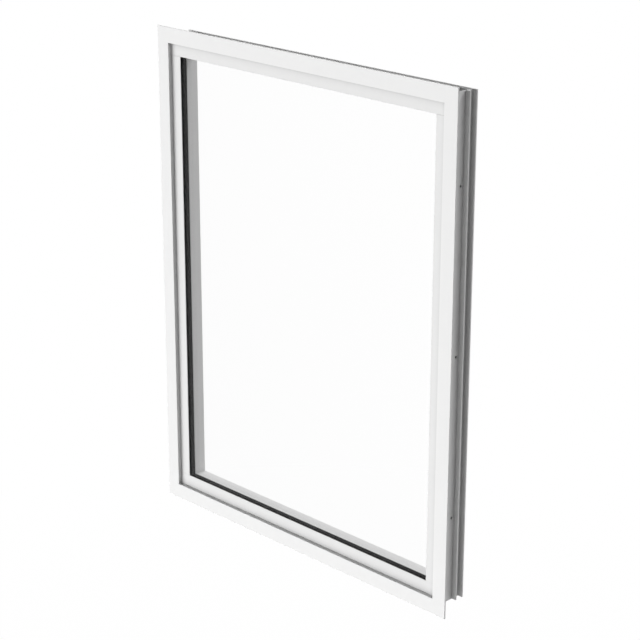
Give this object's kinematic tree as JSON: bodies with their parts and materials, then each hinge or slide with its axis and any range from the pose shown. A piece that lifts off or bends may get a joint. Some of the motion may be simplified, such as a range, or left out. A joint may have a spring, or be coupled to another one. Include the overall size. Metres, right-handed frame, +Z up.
{
  "type": "fixed picture window",
  "caption": "Fixed picture window: white hollow aluminium frame with a wall flange, set-back glazing beads, black gaskets and clear insulating glass.",
  "frame": {"origin": "on the back of the sill's flange, at the middle of the window, level with the bottom of the frame", "axes": "+Z up, +Y from the outside of the building to the inside, +X to the right as seen from outside"},
  "size_m": [0.94, 0.0834, 1.203],
  "materials": {
    "frame_paint": "white powder coat, satin",
    "gasket_rubber": "black extruded rubber",
    "spacer_black": "black warm-edge spacer and sealant",
    "clear_glass": "clear float glass",
    "block_rubber": "black neoprene block"
  },
  "bodies": {
    "root": {"jamb_left": "frame_paint", "jamb_right": "frame_paint", "head": "frame_paint", "sill": "frame_paint", "bead_left": "frame_paint", "bead_right": "frame_paint", "bead_head": "frame_paint", "bead_sill": "frame_paint", "gasket_left": "gasket_rubber", "gasket_right": "gasket_rubber", "gasket_head": "gasket_rubber", "gasket_sill": "gasket_rubber", "tape_left": "gasket_rubber", "tape_right": "gasket_rubber", "tape_head": "gasket_rubber", "tape_sill": "gasket_rubber", "spacer_left": "spacer_black", "spacer_right": "spacer_black", "spacer_head": "spacer_black", "spacer_sill": "spacer_black", "glass_outer": "clear_glass", "glass_inner": "clear_glass", "setting_block_left": "block_rubber", "setting_block_right": "block_rubber"}
  },
  "joints": []
}
